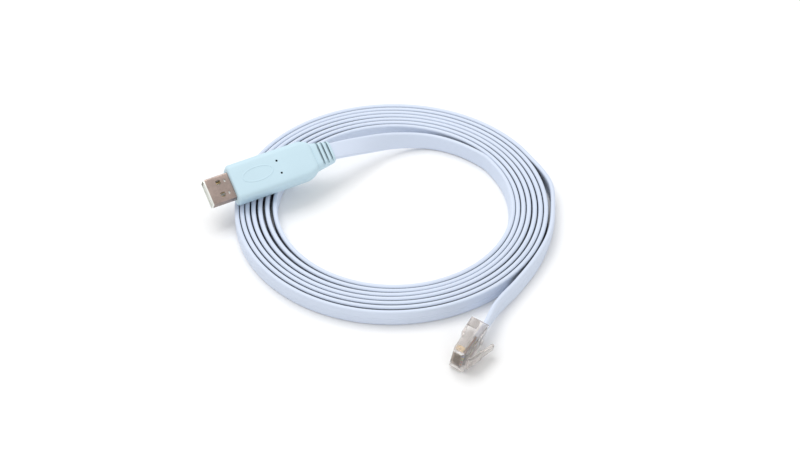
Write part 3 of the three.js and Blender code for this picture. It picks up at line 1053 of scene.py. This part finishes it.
class PlugLooks(bpy.types.PropertyGroup):
    clear: colour_property("Clear plastic", "Tint of the plug's body", linear(255, 248, 245))
    gold: colour_property("Gold", "Colour of the contacts", linear(255, 224, 172))
    edge_width: length_property("Edge width", "Rounding of the body's edges", 0.22, 0.05, 0.4)


class StageLooks(bpy.types.PropertyGroup):
    floor_width: FloatProperty(
        name="Floor width", description="Width of the pale floor", default=6.0, min=1.0, max=20.0,
        subtype="DISTANCE", unit="LENGTH",
    )
    key_power: FloatProperty(
        name="Key light", description="Power of the soft light above", default=5.0, min=0.0, max=500.0,
        subtype="POWER", unit="POWER",
    )
    fill_power: FloatProperty(
        name="Fill light", description="Power of the soft light in front", default=0.8, min=0.0, max=500.0,
        subtype="POWER", unit="POWER",
    )
    room_light: FloatProperty(
        name="Room light", description="Strength of the even light all round",
        default=0.75, min=0.0, max=5.0,
    )


# The stage


def aim_camera():
    data = bpy.data.cameras.new("photo_camera")
    camera = bpy.data.objects.new("photo_camera", data)
    bpy.context.scene.collection.objects.link(camera)
    bpy.context.scene.camera = camera
    data.sensor_fit = "HORIZONTAL"
    data.sensor_width = 36.0
    data.lens = 36.0 * PIXELS_PER_MM * CAMERA_DISTANCE / PHOTO_WIDTH
    data.shift_x = (PHOTO_WIDTH / 2 - COIL_MIDDLE_PIXEL[0]) / PHOTO_WIDTH
    data.shift_y = (COIL_MIDDLE_PIXEL[1] - PHOTO_HEIGHT / 2) / PHOTO_WIDTH
    data.clip_start = 0.05
    data.clip_end = 50
    back = Vector((0, -math.cos(CAMERA_ELEVATION), math.sin(CAMERA_ELEVATION)))
    up = Vector((0, math.sin(CAMERA_ELEVATION), math.cos(CAMERA_ELEVATION)))
    camera.location = ORIGIN + back * CAMERA_DISTANCE * MM
    camera.rotation_mode = "QUATERNION"
    camera.rotation_quaternion = Matrix((Vector((1, 0, 0)), up, back)).transposed().to_quaternion()


def area_light(name, place, size, power):
    """A soft light that shines at the middle of the floor."""
    data = bpy.data.lights.new(name, "AREA")
    data.shape = "RECTANGLE"
    data.size, data.size_y = size
    data.energy = power
    light = bpy.data.objects.new(name, data)
    bpy.context.scene.collection.objects.link(light)
    light.location = place
    light.rotation_mode = "QUATERNION"
    light.rotation_quaternion = (-Vector(place)).to_track_quat("-Z", "Y")


class CABLE_OT_stage(bpy.types.Operator):
    """Makes the camera, the soft studio light and the pale floor"""

    bl_idname = "console_cable.stage"
    bl_label = "Stage"

    def execute(self, context):
        looks = context.scene.stage_looks
        aim_camera()
        context.scene.view_settings.view_transform = "Standard"
        world = bpy.data.worlds.new("studio_world")
        context.scene.world = world
        world.use_nodes = True
        background = world.node_tree.nodes["Background"]
        background.inputs["Color"].default_value = (1, 1, 1, 1)
        background.inputs["Strength"].default_value = looks.room_light
        area_light("key_softbox", KEY_PLACE, KEY_SIZE, looks.key_power)
        area_light("front_fill", FILL_PLACE, FILL_SIZE, looks.fill_power)
        half = looks.floor_width / 2
        made = bmesh.new()
        corners = ((-half, -half), (half, -half), (half, half), (-half, half))
        made.faces.new([made.verts.new((x, y, -FLOOR_DROP)) for x, y in corners])
        floor = mesh_object("studio_floor", made)
        paper = Finish("studio_paper", Specular_IOR_Level=0.1, Roughness=0.9)
        cloud = paper.noise(paper.place(), 3, 2)
        shade = paper.mix(cloud, (0.93, 0.93, 0.93, 1), (0.95, 0.95, 0.95, 1))
        floor.data.materials.append(paper.wear(Base_Color=shade))
        return {"FINISHED"}


# The pieces


class CABLE_OT_flat_cable(bpy.types.Operator):
    """Winds the flat cable on its edge and runs its two ends to the plugs"""

    bl_idname = "console_cable.flat_cable"
    bl_label = "Flat cable"

    def execute(self, context):
        looks = context.scene.cable_looks
        section = cable_section(looks.thickness / MM, looks.edge_radius / MM, looks.seam_height / MM)
        jacket = plastic_finish("flat_cable_jacket", looks.jacket, 60, 2600, 0.4)
        nodes = ("cable_usb_end", "cable_coil", "cable_rj45_end")
        finished(cable_body(section), jacket, nodes=nodes)
        return {"FINISHED"}


class CABLE_OT_usb_moulding(bpy.types.Operator):
    """Makes the USB plug's housing with its ribbed strain relief"""

    bl_idname = "console_cable.usb_moulding"
    bl_label = "USB moulding"

    def execute(self, context):
        looks = context.scene.usb_looks
        body = usb_moulding(looks.front_rounding / MM, looks.rim_height / MM)
        plastic = plastic_finish("usb_moulding_plastic", looks.moulding, 70, 3200, 0.42)
        finished(body, plastic, USB_POSE, ("usb_housing",))
        return {"FINISHED"}


class CABLE_OT_usb_metal(bpy.types.Operator):
    """Makes the USB plug's steel shell"""

    bl_idname = "console_cable.usb_metal"
    bl_label = "USB shell"

    def execute(self, context):
        looks = context.scene.usb_looks
        steel = steel_finish(looks.steel, looks.lip)
        finished(usb_shell(), steel, USB_POSE, ("usb_shell",))
        return {"FINISHED"}


class CABLE_OT_usb_inside(bpy.types.Operator):
    """Makes the tongue inside the USB plug and its four contacts"""

    bl_idname = "console_cable.usb_inside"
    bl_label = "USB tongue and contacts"

    def execute(self, context):
        looks = context.scene.usb_looks
        plastic = plastic_finish("usb_insulator", looks.insulator, 90, 3000, 0.45)
        finished(usb_tongue(), plastic, USB_POSE, ("usb_tongue",))
        gold = gold_finish("usb_gold", context.scene.plug_looks.gold)
        nodes = [f"usb_contact_{i + 1}" for i in range(USB_CONTACTS)]
        finished(usb_strips(), gold, USB_POSE, nodes)
        return {"FINISHED"}


class CABLE_OT_rj45_body(bpy.types.Operator):
    """Makes the RJ45 plug's clear body with its latch"""

    bl_idname = "console_cable.rj45_body"
    bl_label = "RJ45 body"

    def execute(self, context):
        looks = context.scene.plug_looks
        body = plug_body(looks.edge_width / MM)
        finished(body, clear_finish(looks.clear), PLUG_POSE, ("rj45_body",))
        return {"FINISHED"}


class CABLE_OT_rj45_inside(bpy.types.Operator):
    """Makes the RJ45 plug's eight contacts and the eight wires that lead to them"""

    bl_idname = "console_cable.rj45_inside"
    bl_label = "RJ45 contacts and wires"

    def execute(self, context):
        gold = gold_finish("rj45_gold", context.scene.plug_looks.gold)
        nodes = [f"rj45_contact_{i + 1}" for i in range(CONTACTS)]
        finished(plug_blades(), gold, PLUG_POSE, nodes)
        for i, colour in enumerate(WIRE_COLOURS):
            name = f"wire_{i + 1}"
            insulation = plastic_finish(f"insulation_{i + 1}", colour, 200, 4000, 0.35)
            finished(plug_wire(i), insulation, PLUG_POSE, (name,))
        return {"FINISHED"}


class CABLE_OT_free_cord(bpy.types.Operator):
    """Works out the flat cable's line and length and lists the RJ45 plug's pieces on its end, but does
    nothing with them
    """

    bl_idname = "console_cable.free_cord"
    bl_label = "Free cord"

    def execute(self, context):
        even, length = cable_line()
        on_the_end = ["rj45_clear_body", "rj45_blades"]
        on_the_end += [f"plug_wire_{i + 1}" for i in range(CONTACTS)]
        length * MM
        return {"FINISHED"}


OPERATORS = (
    CABLE_OT_stage,
    CABLE_OT_flat_cable,
    CABLE_OT_usb_moulding,
    CABLE_OT_usb_metal,
    CABLE_OT_usb_inside,
    CABLE_OT_rj45_body,
    CABLE_OT_rj45_inside,
    CABLE_OT_free_cord,
)
LOOKS = {
    "cable_looks": CableLooks,
    "usb_looks": UsbLooks,
    "plug_looks": PlugLooks,
    "stage_looks": StageLooks,
}


class CABLE_PT_panel(bpy.types.Panel):
    bl_idname = "CABLE_PT_panel"
    bl_label = "Console Cable"
    bl_space_type = "VIEW_3D"
    bl_region_type = "UI"
    bl_category = "Console Cable"

    def draw(self, context):
        for name, group in LOOKS.items():
            for field in group.__annotations__:
                self.layout.prop(getattr(context.scene, name), field)
        for operator in OPERATORS:
            self.layout.operator(operator.bl_idname)


CLASSES = (*LOOKS.values(), *OPERATORS, CABLE_PT_panel)


def register():
    for cls in CLASSES:
        bpy.utils.register_class(cls)
    for name, group in LOOKS.items():
        setattr(bpy.types.Scene, name, PointerProperty(type=group))


def unregister():
    for name in LOOKS:
        delattr(bpy.types.Scene, name)
    for cls in reversed(CLASSES):
        bpy.utils.unregister_class(cls)


def main():
    register()
    for operator in OPERATORS:
        getattr(bpy.ops.console_cable, operator.bl_idname.split(".")[1])()


if __name__ == "__main__":
    main()
